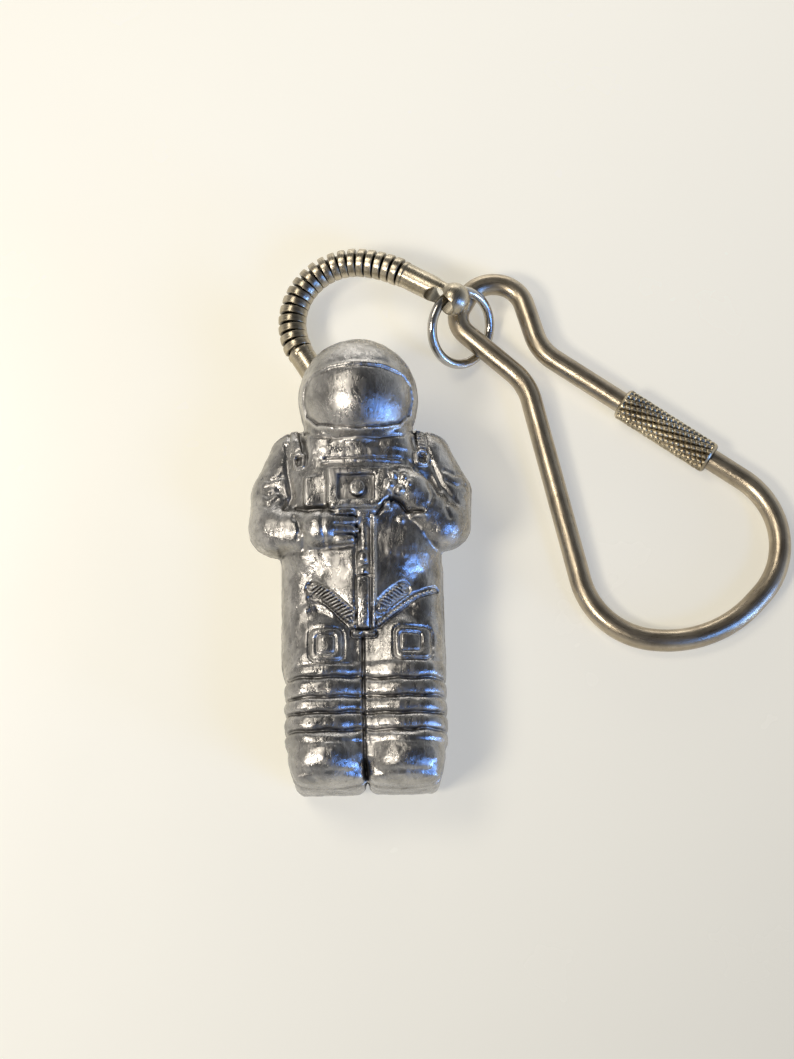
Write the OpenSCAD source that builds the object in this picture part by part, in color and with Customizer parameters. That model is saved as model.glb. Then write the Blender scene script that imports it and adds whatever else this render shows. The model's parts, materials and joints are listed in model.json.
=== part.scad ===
// Key chain with a cast astronaut statuette, lying on its back.
// Millimetres. +Z points up from the resting surface, +Y runs towards the
// head and +X to the side where the key ring lies. The origin is the middle
// of the flat back face of the statuette's life-support pack.

/* [Statuette] */
// Radius of the helmet
helmet_r = 5.7; // [5.4:0.1:5.8]
// Distance from the origin up to the helmet's centre
helmet_y = 10.4; // [10:0.1:10.8]
// Height of the helmet's centre above the resting surface
helmet_z = 9.9; // [9.8:0.1:10.2]
// Half width across the elbows
elbow_x = 8.2; // [7.6:0.1:8.6]
// Distance from the origin down to the soles
sole_y = 27.7; // [27:0.1:28.4]
// Width of the flat pack on the back
pack_width = 13; // [11:0.5:14]
// Length of the flat pack on the back
pack_length = 18; // [16:0.5:19]

/* [Snake chain] */
// Number of links
link_count = 19; // [16:1:19]
// Distance from one link to the next along the chain
pitch = 0.96; // [0.94:0.01:0.98]
// Outer radius of a link
link_r = 1.45; // [1.3:0.05:1.5]
// Bend at each of the tight joints, in degrees
tight_bend = 8.7; // [6:0.1:8.8]
// Number of tight joints, counted from the statuette
tight_joints = 15; // [10:1:20]
// Bend at each of the other joints, in degrees
loose_bend = 4.4; // [3:0.1:8]

/* [End caps] */
// Outer radius of an end cap's tube
cap_r = 1.3; // [1.25:0.05:1.35]
// Radius of the rounded eye at the tip of a cap
cap_eye_r = 1.7; // [1.6:0.05:1.75]
// Distance from a cap's rim to the middle of its eye hole
cap_reach = 5.85; // [5.8:0.05:6]

/* [Rings] */
// Radius of the jump ring at the middle of its wire
jump_r = 3.75; // [3.7:0.01:3.8]
// Diameter of the jump ring's wire
jump_wire = 1.0; // [0.9:0.05:1]
// Diameter of the key ring's wire
key_wire = 2.2; // [2:0.05:2.2]
// Outer diameter of the knurled sleeve
sleeve_d = 3.3; // [3.2:0.05:3.4]
// Length of the knurled sleeve
sleeve_length = 10.7; // [10:0.1:11]

/* [Hidden] */
link_names = [for (i = [1 : link_count]) str("link_", i < 10 ? "0" : "", i)];

pewter = "dimgray";
nickel = "silver";
$fn = 48;
blob_fn = 24;
corner_fn = 32;

// The statuette stands a little off the frame's Y axis
figure_shift = 0.3;
figure_turn = 1.2;

// Chain: the plane in which it bends rises from the staple to the upper cap
eye_at = [-3, 13.3, 2.9];
plane_rise = 9.8;
plane_heading = 25;
cap_heading = 122;
band_half = 0.33;
socket_r = 1.12;
neck_r = 0.95;
neck_bore_r = 0.75;
neck_reach = 0.3;
web_at = 0.12;
edge_width = 0.12;
edge_drop = 0.1;
neck_root = 0.5;
joint_gap = pitch / 2 - band_half;
eye_ball_shift = 0.35;
lower_eye_r = 0.46;
upper_eye_r = 1.05;
upper_slot = 1.35;
upper_roll = -25;

// Staple: a bent wire cast into the back of the head and the pack
staple_wire = 0.8;
staple_top_z = 7.6;
staple_foot_z = 0.58;
staple_bend_r = 0.8;
staple_foot_end = 5.6;

// Jump ring: its highest side faces jump_heading
jump_tilt = 45;
jump_heading = 146;
jump_at = [10.5, 20.8, jump_r * sin(jump_tilt) + jump_wire / 2];

// Key ring: it rests on its far end and rises towards its neck
key_rest_at = [33, -12, key_wire / 2];
key_rise = 1.76;
key_heading = 107.2;
sleeve_at = [31.3, 10];
sleeve_heading = -34.5;
sleeve_dir = [cos(sleeve_heading), sin(sleeve_heading)];
sleeve_clearance = 0.08;
near_end = 0.1;
far_end = 2.4;
// Corners of the key ring's wire, each with its bend radius
key_corners = [
    [18.6, 18.7, 5], [16.4, 26.05, 3.2], [12, 26.05, 3.2], [9.6, 21.8, 2.4],
    [17.2, 15.1, 6], [23.5, -11.3, 8], [35.3, -12.4, 12], [46.5, -0.4, 8]
];
key_route = concat(
    [concat(sleeve_at - near_end * sleeve_dir, 0)],
    key_corners,
    [concat(sleeve_at + far_end * sleeve_dir, 0)]
);

// ---------- frames ----------

function unit(v) = v / norm(v);

// Turns about a level line, so that the plane rises towards a heading
module rising(rise, heading) {
    rotate(a = rise, v = [sin(heading), -cos(heading), 0]) children();
}

module on_chain_plane() {
    translate(eye_at) rising(plane_rise, plane_heading) children();
}

function bend(joint) = joint <= tight_joints ? tight_bend : loose_bend;

// Heading after a number of joints, in the chain's own plane
function heading(joints) =
    joints == 0 ? cap_heading : heading(joints - 1) - bend(joints);

function along(angle, length) = [length * cos(angle), length * sin(angle)];

// Where each joint's centre lies in the chain's own plane
function joint_at(joint) =
    joint == 1
        ? along(cap_heading, cap_reach + joint_gap)
        : joint_at(joint - 1) + along(heading(joint - 1), pitch);

module at_link(i) {
    on_chain_plane()
        translate(concat(joint_at(i), 0))
            rotate(heading(i))
                translate([pitch / 2, 0, 0])
                    children();
}

module on_key_plane() {
    translate(key_rest_at)
        rising(key_rise, key_heading)
            translate([-key_rest_at[0], -key_rest_at[1], 0])
                children();
}

module figure_pose() {
    translate([figure_shift, 0, 0]) rotate(figure_turn) children();
}

// ---------- statuette ----------

module ball(p, r) {
    translate(p) sphere(r = r, $fn = blob_fn);
}

module limb(points) {
    for (i = [0 : len(points) - 2])
        hull() {
            ball(points[i][0], points[i][1]);
            ball(points[i + 1][0], points[i + 1][1]);
        }
}

module both_sides() {
    children();
    mirror([1, 0, 0]) children();
}

module helmet() {
    hull() {
        ball([0, helmet_y, helmet_z], helmet_r);
        ball([0, helmet_y - 1.4, helmet_z - 0.3], helmet_r - 0.3);
    }
}

module collar() {
    hull() {
        both_sides() ball([2.6, 5.6, 9.2], 3);
        both_sides() ball([3.2, 3.6, 8.8], 3);
    }
}

module torso() {
    hull() {
        both_sides() ball([5.2, 4.2, 7], 3.6);
        both_sides() ball([4.6, -6, 7], 4);
        both_sides() ball([2, 1, 9], 3.6);
    }
    hull() {
        both_sides() ball([4.2, -7, 6.9], 3.9);
        both_sides() ball([4.2, -13, 6.6], 3.6);
    }
}

module leg() {
    limb([
        [[3.9, -11.5, 6.6], 3.9],
        [[3.9, -18, 6.4], 3.8],
        [[3.8, -24, 6.2], 3.5]
    ]);
}

module boot() {
    hull() {
        ball([3.5, 3 - sole_y, 4.2], 3);
        ball([3.5, 3 - sole_y, 7.4], 3.2);
        ball([3.7, 5 - sole_y, 7.2], 3.5);
    }
}

module upper_arm() {
    limb([
        [[6.4, 5, 7], 2.9],
        [[elbow_x - 0.2, 0.4, 7], 2.5],
        [[elbow_x, -2.4, 7.8], 2.4]
    ]);
}

module folded_forearm() {
    limb([[[-elbow_x, -2.8, 8.2], 2.3], [[-2.2, -3.5, 11], 1.9]]);
    ball([-1.3, -3.4, 11.4], 1.7);
}

module raised_forearm() {
    limb([[[elbow_x, -2.4, 8.2], 2.3], [[3.6, 0.8, 11.1], 1.9]]);
}

module chest_unit() {
    hull() {
        translate([-2.5, -1.8, 10]) cube([5, 4, 2.3]);
        translate([-2.1, -1.4, 10]) cube([4.2, 3.2, 2.8]);
    }
    translate([0, 0.1, 12]) cylinder(r = 0.7, h = 1.2);
}

module pack() {
    corner_r = 1.5;
    thickness = 4.5;
    hull()
        for (sx = [-1, 1], sy = [-1, 1])
            translate([sx * (pack_width / 2 - corner_r), sy * (pack_length / 2 - corner_r), 0])
                cylinder(r = corner_r, h = thickness, $fn = corner_fn);
}

module astronaut() {
    color(pewter)
        figure_pose() {
            helmet();
            collar();
            torso();
            both_sides() leg();
            both_sides() boot();
            both_sides() upper_arm();
            folded_forearm();
            raised_forearm();
            chest_unit();
            pack();
        }
}

// ---------- chain hardware ----------

// A wire bent in its own plane: route is a list of [x, y, bend radius]
module bent_wire(route, wire_r) {
    last = len(route) - 1;
    xy = [for (p = route) [p[0], p[1]]];
    back = [for (i = [1 : last - 1]) unit(xy[i - 1] - xy[i])];
    ahead = [for (i = [1 : last - 1]) unit(xy[i + 1] - xy[i])];
    half = [for (i = [0 : last - 2]) acos(back[i] * ahead[i]) / 2];
    set_back = [for (i = [0 : last - 2]) route[i + 1][2] / tan(half[i])];
    enter = [for (i = [0 : last - 2]) xy[i + 1] + set_back[i] * back[i]];
    leave = [for (i = [0 : last - 2]) xy[i + 1] + set_back[i] * ahead[i]];
    starts = concat([xy[0]], leave);
    ends = concat(enter, [xy[last]]);
    for (i = [0 : last - 1])
        straight_wire(starts[i], ends[i], wire_r);
    for (i = [0 : last - 2]) {
        r = route[i + 1][2];
        middle = xy[i + 1] + unit(back[i] + ahead[i]) * r / sin(half[i]);
        toward = xy[i + 1] - middle;
        sweep = 180 - 2 * half[i];
        translate(concat(middle, 0))
            rotate(atan2(toward[1], toward[0]) - sweep / 2)
                rotate_extrude(angle = sweep)
                    translate([r, 0])
                        circle(r = wire_r);
    }
}

module straight_wire(from, to, wire_r) {
    run = to - from;
    translate(concat(from, 0))
        rotate(atan2(run[1], run[0]))
            rotate([0, 90, 0])
                cylinder(r = wire_r, h = norm(run));
}

// A turned piece: its profile is a list of [distance along X, radius]
module turned(profile) {
    rotate([0, 90, 0])
        rotate_extrude()
            polygon([for (p = profile) [p[1], p[0]]]);
}

module eye_staple() {
    top = staple_top_z - eye_at[2];
    foot = eye_at[2] - staple_foot_z;
    color(nickel)
        on_chain_plane()
            rotate([90, 0, cap_heading + 180])
                bent_wire([[0, top, 0], [0, -foot, staple_bend_r], [staple_foot_end, -foot, 0]],
                          staple_wire / 2);
}

// A cap's shell runs from its rim at X = 0 to the rounded eye
module cap_shell() {
    rotate([0, 90, 0]) cylinder(r = cap_r, h = cap_reach);
    translate([cap_reach + eye_ball_shift, 0, 0]) sphere(r = cap_eye_r);
}

module lower_cap() {
    color(nickel)
        on_chain_plane()
            rotate(cap_heading)
                translate([cap_reach, 0, 0])
                    rotate(180)
                        difference() {
                            union() {
                                cap_shell();
                                turned([
                                    [-joint_gap - neck_reach, neck_bore_r],
                                    [-joint_gap - neck_reach, neck_r],
                                    [neck_root, neck_r],
                                    [neck_root, neck_bore_r]
                                ]);
                            }
                            translate([cap_reach, 0, 0])
                                cylinder(r = lower_eye_r, h = 6, center = true);
                        }
}

module link(i) {
    color(nickel)
        at_link(i)
            turned([
                [-band_half, socket_r],
                [-band_half, link_r - edge_drop],
                [-band_half + edge_width, link_r],
                [band_half - edge_width, link_r],
                [band_half, link_r - edge_drop],
                [band_half, neck_r],
                [pitch / 2 + neck_reach, neck_r],
                [pitch / 2 + neck_reach, neck_bore_r],
                [web_at, neck_bore_r],
                [web_at, socket_r]
            ]);
}

module upper_cap() {
    last = link_count + 1;
    socket_depth = 1.2;
    color(nickel)
        on_chain_plane()
            translate(concat(joint_at(last), 0))
                rotate(heading(last))
                    translate([joint_gap, 0, 0])
                        difference() {
                            cap_shell();
                            rotate([0, 90, 0])
                                cylinder(r = socket_r, h = 2 * socket_depth, center = true);
                            translate([cap_reach, 0, 0])
                                rotate([90 + upper_roll, 0, 0])
                                    linear_extrude(6, center = true)
                                        slot_outline();
                        }
}

module slot_outline() {
    circle(r = upper_eye_r);
    translate([-upper_slot, 0]) circle(r = upper_eye_r);
    translate([-upper_slot, -upper_eye_r]) square([upper_slot, 2 * upper_eye_r]);
}

module jump_ring() {
    color(nickel)
        translate(jump_at)
            rising(jump_tilt, jump_heading)
                rotate_extrude()
                    translate([jump_r, 0])
                        circle(r = jump_wire / 2);
}

module key_ring() {
    color(nickel)
        on_key_plane()
            bent_wire(key_route, key_wire / 2);
}

module knurled_sleeve() {
    rim = 0.3;
    bore_r = key_wire / 2 + sleeve_clearance;
    color(nickel)
        on_key_plane()
            translate(concat(sleeve_at, 0))
                rotate(sleeve_heading)
                    turned([
                        [-sleeve_length / 2, bore_r],
                        [-sleeve_length / 2, sleeve_d / 2 - rim],
                        [-sleeve_length / 2 + rim, sleeve_d / 2],
                        [sleeve_length / 2 - rim, sleeve_d / 2],
                        [sleeve_length / 2, sleeve_d / 2 - rim],
                        [sleeve_length / 2, bore_r]
                    ]);
}

astronaut();
eye_staple();
lower_cap();
for (i = [1 : link_count])
    link(i);
upper_cap();
jump_ring();
key_ring();
knurled_sleeve();
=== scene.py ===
"""Looks for the key chain with a cast astronaut statuette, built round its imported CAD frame.

Shapes are worked out in millimetres and turned into metres as their meshes are made. The frame has +Z up
from the table, +Y towards the statuette's head and +X towards the key ring. Right is +X and left is -X.
"""

import json
import math

import bpy
import numpy as np
import openvdb
from mathutils import Matrix, Vector


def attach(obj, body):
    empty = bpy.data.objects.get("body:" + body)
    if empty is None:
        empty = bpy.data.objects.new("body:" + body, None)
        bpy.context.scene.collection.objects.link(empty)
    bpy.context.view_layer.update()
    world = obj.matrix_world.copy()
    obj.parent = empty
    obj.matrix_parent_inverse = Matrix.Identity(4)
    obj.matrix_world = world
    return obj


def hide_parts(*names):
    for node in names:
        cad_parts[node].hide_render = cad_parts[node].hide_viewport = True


MM = 0.001
FAR = 4.0  # the distance that a Shape starts from

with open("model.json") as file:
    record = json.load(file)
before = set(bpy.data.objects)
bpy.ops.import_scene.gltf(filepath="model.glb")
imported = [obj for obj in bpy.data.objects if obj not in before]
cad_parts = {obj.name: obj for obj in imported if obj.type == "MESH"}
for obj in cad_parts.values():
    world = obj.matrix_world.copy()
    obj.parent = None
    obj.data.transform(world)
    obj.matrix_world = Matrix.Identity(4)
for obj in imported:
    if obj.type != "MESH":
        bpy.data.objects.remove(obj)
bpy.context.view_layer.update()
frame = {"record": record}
joint = {j["name"]: j for j in frame["record"]["behaviour"]["joints"]}


def joint_place(name):
    """A joint's centre in millimetres and its axis."""
    return Vector(joint[name]["pos_m"]) / MM, Vector(joint[name]["axis"]).normalized()


# ---------- materials ----------


class Nodes:
    """A material's or the world's node tree, with short calls to add to it."""

    def __init__(self, owner, shader="Principled BSDF"):
        owner.use_nodes = True
        self.owner = owner
        self.tree = owner.node_tree
        self.shader = self.tree.nodes[shader]

    def add(self, kind, settings=None, **inputs):
        node = self.tree.nodes.new(kind)
        for name, value in (settings or {}).items():
            setattr(node, name, value)
        for name, value in inputs.items():
            self.feed(node.inputs[name.replace("_", " ")], value)
        return node

    def feed(self, socket, value):
        if isinstance(value, bpy.types.NodeSocket):
            self.tree.links.new(value, socket)
        else:
            socket.default_value = value

    def attribute(self, name, output="Fac"):
        return self.add("ShaderNodeAttribute", {"attribute_name": name}).outputs[output]

    def noise(self, vector, scale, detail=3.0, roughness=0.6, distortion=0.0):
        node = self.add("ShaderNodeTexNoise", Scale=scale, Detail=detail, Roughness=roughness,
                        Distortion=distortion)
        self.feed(node.inputs["Vector"], vector)
        return node.outputs["Fac"]

    def range(self, value, low, high, to_low=0.0, to_high=1.0):
        node = self.add("ShaderNodeMapRange", {"interpolation_type": "SMOOTHSTEP"})
        self.feed(node.inputs["Value"], value)
        for name, number in (("From Min", low), ("From Max", high), ("To Min", to_low), ("To Max", to_high)):
            node.inputs[name].default_value = number
        return node.outputs["Result"]

    def math(self, operation, a, b):
        node = self.add("ShaderNodeMath", {"operation": operation})
        self.feed(node.inputs[0], a)
        self.feed(node.inputs[1], b)
        return node.outputs[0]

    def mix(self, factor, a, b, blend="MIX"):
        node = self.add("ShaderNodeMix", {"data_type": "RGBA", "blend_type": blend})
        self.feed(node.inputs["Factor"], factor)
        self.feed(node.inputs[6], a)
        self.feed(node.inputs[7], b)
        return node.outputs[2]

    def stretched(self, vector, scale):
        node = self.add("ShaderNodeMapping", Vector=vector)
        node.inputs["Scale"].default_value = scale
        return node.outputs["Vector"]

    def bump(self, height, distance, strength=1.0, under=None):
        node = self.add("ShaderNodeBump", Height=height, Distance=distance, Strength=strength)
        if under is not None:
            self.feed(node.inputs["Normal"], under)
        return node.outputs["Normal"]

    def place(self):
        return self.add("ShaderNodeTexCoord").outputs["Object"]


def floor_material():
    """A pale glossy table, with painted shade that turns it greyer towards its right front corner and a
    painted glow that dims towards that corner.
    """
    n = Nodes(bpy.data.materials.new("glossy_white_table"))
    place = n.place()
    patches = n.noise(place, 9, 3)
    scuffs = n.noise(place, 60, 4)
    across = n.add("ShaderNodeSeparateXYZ", Vector=place)
    toward_right = n.math("SUBTRACT", across.outputs["X"], across.outputs["Y"])
    pale = n.mix(patches, (0.76, 0.735, 0.62, 1), (0.80, 0.775, 0.66, 1))
    # Painted shade: the greyer colour the table fades to towards its right front corner, standing in for the
    # lights' falloff.
    painted_shade_grey = n.mix(patches, (0.47, 0.45, 0.37, 1), (0.51, 0.49, 0.40, 1))
    n.feed(n.shader.inputs["Base Color"], n.mix(n.range(toward_right, -0.08, 0.11), pale, painted_shade_grey))
    n.feed(n.shader.inputs["Roughness"], n.range(scuffs, 0.3, 0.8, 0.2, 0.3))
    n.shader.inputs["Specular IOR Level"].default_value = 0.45
    # Painted light: the table glows, and the glow dims towards its right front corner.
    n.shader.inputs["Emission Color"].default_value = (1.0, 0.955, 0.85, 1)
    n.feed(n.shader.inputs["Emission Strength"], n.range(toward_right, 0.03, 0.12, 0.38, 0.29))
    return n.owner


def pewter_material():
    """Antiqued cast pewter: a mottled skin, black in the recesses, partly from real antiquing and partly as
    painted shade, and rubbed bright on what stands proud.
    """
    dull, pale = (0.27, 0.262, 0.25, 1), (0.50, 0.485, 0.465, 1)
    pitted, bright = (0.15, 0.145, 0.135, 1), (0.66, 0.645, 0.62, 1)
    # Near black for the recesses: the casting's real antiquing together with painted shade.
    antiquing_and_painted_shade = (0.05, 0.047, 0.044, 1)
    n = Nodes(bpy.data.materials.new("antiqued_pewter"))
    place = n.place()
    recess = n.attribute("recess")
    wear = n.attribute("wear")
    blotches = n.noise(place, 420, 5, 0.62, 0.4)
    speckle = n.noise(place, 2300, 4, 0.7)
    streaks = n.noise(n.stretched(place, (1500, 600, 1500)), 1, 4, 0.65, 0.8)
    tone = n.mix(n.range(blotches, 0.3, 0.7), dull, pale)
    tone = n.mix(n.range(speckle, 0.54, 0.72, 0, 0.6), tone, pitted)
    rubbed = n.math("MULTIPLY", n.range(wear, 0.1, 0.7), n.range(streaks, 0.25, 0.6, 0.35, 1.0))
    tone = n.mix(rubbed, tone, bright)
    # Recesses go nearly black: partly the real antiquing, partly painted shade.
    tone = n.mix(n.range(recess, 0.12, 0.95, 0, 0.92), tone, antiquing_and_painted_shade)
    n.feed(n.shader.inputs["Base Color"], tone)
    n.shader.inputs["Metallic"].default_value = 1.0
    rough = n.range(streaks, 0.3, 0.7, 0.2, 0.36)
    n.feed(n.shader.inputs["Roughness"], n.math("ADD", rough, n.range(recess, 0.1, 0.8, 0, 0.3)))
    skin = n.bump(streaks, 0.0001, 0.5)
    n.feed(n.shader.inputs["Normal"], n.bump(speckle, 0.00005, 0.85, skin))
    return n.owner


def plated_material(name, light, dark, rough, along_scale):
    """Worn satin plating, darkened in its recesses as painted shade. "grain" holds straightened coordinates,
    along the wire or axis and across it.
    """
    pitted, painted_recess_shade = (0.16, 0.135, 0.1, 1), (0.06, 0.05, 0.036, 1)
    n = Nodes(bpy.data.materials.new(name))
    place = n.place()
    grain = n.attribute("grain", "Vector")
    drawn = n.noise(n.stretched(grain, along_scale), 1, 4, 0.6)
    cloud = n.noise(place, 260, 4, 0.6)
    pits = n.noise(place, 2600, 3, 0.6)
    tone = n.mix(n.range(cloud, 0.35, 0.68), light, dark)
    tone = n.mix(n.range(pits, 0.62, 0.76, 0, 0.6), tone, pitted)
    # Painted shade: recesses such as the gaps between links and the knurl's grooves go nearly black.
    tone = n.mix(n.range(n.attribute("recess"), 0.1, 0.9, 0, 0.93), tone, painted_recess_shade)
    n.feed(n.shader.inputs["Base Color"], tone)
    n.shader.inputs["Metallic"].default_value = 1.0
    n.feed(n.shader.inputs["Roughness"], n.range(drawn, 0.25, 0.75, rough, rough + 0.14))
    fine = n.bump(drawn, 0.00002, 0.6)
    n.feed(n.shader.inputs["Normal"], n.bump(pits, 0.00002, 0.6, fine))
    return n.owner


# ---------- camera, floor and lights ----------


def make_camera():
    """A camera that looks down on the statuette from the side of its feet."""
    height_angle = math.radians(72)
    distance = 0.2
    aim = Vector((0.0039, 0, 0))
    back = Vector((0, -math.cos(height_angle), math.sin(height_angle)))
    camera = bpy.data.objects.new("camera", bpy.data.cameras.new("camera"))
    camera.data.sensor_width = 36
    camera.data.lens = 67.2
    camera.data.clip_start = 0.01
    camera.data.clip_end = 10
    camera.location = aim + back * distance
    camera.rotation_mode = "QUATERNION"
    camera.rotation_quaternion = (-back).to_track_quat("-Z", "Y")
    bpy.context.scene.collection.objects.link(camera)
    bpy.context.scene.camera = camera


def area_light(name, azimuth, elevation, distance, size, power, colour):
    """A soft oblong light that faces the statuette. Azimuth is from +X towards +Y, in degrees."""
    middle = Vector((0.005, 0, 0.008))
    a, e = math.radians(azimuth), math.radians(elevation)
    out = Vector((math.cos(a) * math.cos(e), math.sin(a) * math.cos(e), math.sin(e)))
    light = bpy.data.lights.new(name, "AREA")
    light.shape = "RECTANGLE"
    light.size, light.size_y = size
    light.energy = power
    light.color = colour
    lamp = bpy.data.objects.new(name, light)
    lamp.location = middle + out * distance
    lamp.rotation_mode = "QUATERNION"
    lamp.rotation_quaternion = (-out).to_track_quat("-Z", "Y")
    bpy.context.scene.collection.objects.link(lamp)


def make_world():
    """A room that is pale low down and dark overhead, a little warmer to the left than to the right."""
    n = Nodes(bpy.data.worlds.new("studio"), "Background")
    parts = n.add("ShaderNodeSeparateXYZ", Vector=n.add("ShaderNodeTexCoord").outputs["Generated"])
    side = n.add("ShaderNodeMapRange", Value=parts.outputs["X"], From_Min=-1)
    tint = n.mix(side.outputs["Result"], (1.0, 0.95, 0.88, 1), (0.86, 0.92, 1.0, 1))
    level = n.add("ShaderNodeValToRGB")
    n.feed(level.inputs[0], parts.outputs["Z"])
    ramp = level.color_ramp
    ramp.interpolation = "EASE"
    ramp.elements[0].color = (0.82, 0.82, 0.82, 1)
    ramp.elements[1].color = (0.07, 0.07, 0.075, 1)
    for height, value in ((0.2, 0.62), (0.5, 0.26), (0.75, 0.12)):
        ramp.elements.new(height).color = (value, value, value, 1)
    n.feed(n.shader.inputs["Color"], n.mix(1, tint, level.outputs["Color"], "MULTIPLY"))
    n.shader.inputs["Strength"].default_value = 1.0
    bpy.context.scene.world = n.owner


def make_stage():
    """Lights by azimuth, elevation, distance, size, power and colour, then the room and the table."""
    area_light("key", -146, 50, 0.42, (0.11, 0.08), 0.8, (1.0, 0.93, 0.83))
    area_light("ceiling", 150, 58, 0.55, (0.22, 0.16), 0.75, (1.0, 0.93, 0.82))
    area_light("window", -28, 13, 0.6, (0.17, 0.12), 0.7, (0.10, 0.30, 1.0))
    area_light("window_core", -31, 9, 0.6, (0.05, 0.04), 0.24, (0.42, 0.72, 1.0))
    area_light("window_high", -42, 36, 0.6, (0.16, 0.15), 0.75, (0.13, 0.34, 1.0))
    area_light("back_glow", 88, 12, 0.6, (0.4, 0.12), 0.5, (1.0, 0.96, 0.9))
    make_world()
    bpy.context.scene.view_settings.view_transform = "Standard"
    make_floor()


def make_floor():
    """A round table top, with smaller faces near the statuette."""
    rings, spokes, reach = 10, 64, 1.6
    points = [(0, 0, 0)]
    for i in range(1, rings + 1):
        r = reach * (i / rings) ** 2
        for k in range(spokes):
            turn = 2 * math.pi * k / spokes
            points.append((r * math.cos(turn), r * math.sin(turn), 0))
    faces = [(0, 1 + k, 1 + (k + 1) % spokes) for k in range(spokes)]
    for i in range(rings - 1):
        for k in range(spokes):
            a, b = 1 + i * spokes + k, 1 + i * spokes + (k + 1) % spokes
            faces.append((a, a + spokes, b + spokes, b))
    mesh = bpy.data.meshes.new("floor")
    mesh.from_pydata(points, [], faces)
    floor = bpy.data.objects.new("floor", mesh)
    floor.data.materials.append(floor_material())
    bpy.context.scene.collection.objects.link(floor)


# ---------- meshes ----------


def mesh_object(name, points, faces, place=None):
    """A smooth shaded object from points in millimetres, turned into metres and put in place."""
    mesh = bpy.data.meshes.new(name)
    scaled = np.asarray(points, float)
    if place is not None:
        turn = np.array(place)
        scaled = scaled @ turn[:3, :3].T + turn[:3, 3]
    mesh.from_pydata((scaled * MM).tolist(), [], faces)
    mesh.validate()
    mesh.shade_smooth()
    made = bpy.data.objects.new(name, mesh)
    bpy.context.scene.collection.objects.link(made)
    return made


def set_values(made, name, values):
    """Numbers or vectors kept on a mesh's points, for the materials to read."""
    values = np.asarray(values, np.float32)
    kind, field = ("FLOAT", "value") if values.ndim == 1 else ("FLOAT_VECTOR", "vector")
    attribute = made.data.attributes.new(name, kind, "POINT")
    attribute.data.foreach_set(field, values.ravel())


def finish_piece(made, body, slot, material, *nodes, sharp=None):
    """Gives a piece its material and body, and hides the CAD nodes it stands in for. Edges above the sharp
    angle stay sharp. The slot is not used.
    """
    if sharp is not None:
        made.data.set_sharp_from_angle(angle=math.radians(sharp))
    made.data.materials.clear()
    made.data.materials.append(material)
    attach(made, body)
    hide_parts(*nodes)


def ring_faces(rings, sides, closed):
    """The faces between rings of points, and between the last ring and the first if closed."""
    faces = []
    for i in range(rings if closed else rings - 1):
        here, after = i * sides, (i + 1) % rings * sides
        for k in range(sides):
            beside = (k + 1) % sides
            faces.append((here + k, here + beside, after + beside, after + k))
    return faces


def lathe(name, profile, place, sides=72, relief=None, dark_depth=0.3):
    """A closed profile of (distance along X, radius) turned about X, then put in place.
    Points that lie the dark depth below the outside count as recessed, and the materials paint shade into
    them."""
    turns = np.arange(sides) * 2 * math.pi / sides
    xs, rs = np.array(profile, float).T
    x, turn = np.meshgrid(xs, turns, indexing="ij")
    r = np.repeat(rs[:, None], sides, 1)
    if relief is not None:
        r = r + relief(x, turn, r)
    points = np.stack([x, r * np.cos(turn), r * np.sin(turn)], -1).reshape(-1, 3)
    made = mesh_object(name, points, ring_faces(len(profile), sides, True), place)
    set_values(made, "grain", points)
    # The recess value is what the materials darken as painted shade.
    set_values(made, "recess", np.clip((r.max() - r) / dark_depth, 0, 1).ravel())
    return made


def round_corner(corner, before, after, radius, steps=4):
    """Points that round one corner of a profile."""
    corner, before, after = (Vector(p) for p in (corner, before, after))
    a = corner + (before - corner).normalized() * radius
    b = corner + (after - corner).normalized() * radius
    made = []
    for i in range(steps + 1):
        t = i / steps
        made.append(a * (1 - t) ** 2 + corner * 2 * t * (1 - t) + b * t ** 2)
    return [tuple(p) for p in made]


def rounded(outline):
    """A closed outline of (x, r, corner radius) with its corners rounded."""
    made = []
    for i, (x, r, radius) in enumerate(outline):
        if radius:
            before, after = outline[i - 1][:2], outline[(i + 1) % len(outline)][:2]
            made += round_corner((x, r), before, after, radius)
        else:
            made.append((x, r))
    return made


def basis(origin, along, up):
    """A placement whose X runs along one direction, and whose Z is as near as it can be to another."""
    x = along.normalized()
    y = up.cross(x).normalized()
    z = x.cross(y)
    turn = Matrix((x, y, z)).transposed().to_4x4()
    return Matrix.Translation(origin) @ turn


def round_ends(path, tangents, runs, radius):
    """Rings for an open wire with rounded ends: their centres, tangents, radii and runs along the wire."""
    lift = radius * 0.3
    shares = np.array([0.5, 0.8, 0.95])
    inward = (lift - lift * shares)[:, None]
    widths = radius - lift + lift * np.sqrt(1 - shares ** 2)
    kept = (runs >= lift) & (runs <= runs[-1] - lift)
    start, end = path[0] + tangents[0] * inward[::-1], path[-1] - tangents[-1] * inward
    count = len(shares)
    return (
        np.concatenate([start, path[kept], end]),
        np.concatenate([[tangents[0]] * count, tangents[kept], [tangents[-1]] * count]),
        np.concatenate([widths[::-1], [radius] * kept.sum(), widths]),
        np.concatenate([[0] * count, runs[kept], [runs[-1]] * count]),
    )


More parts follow.
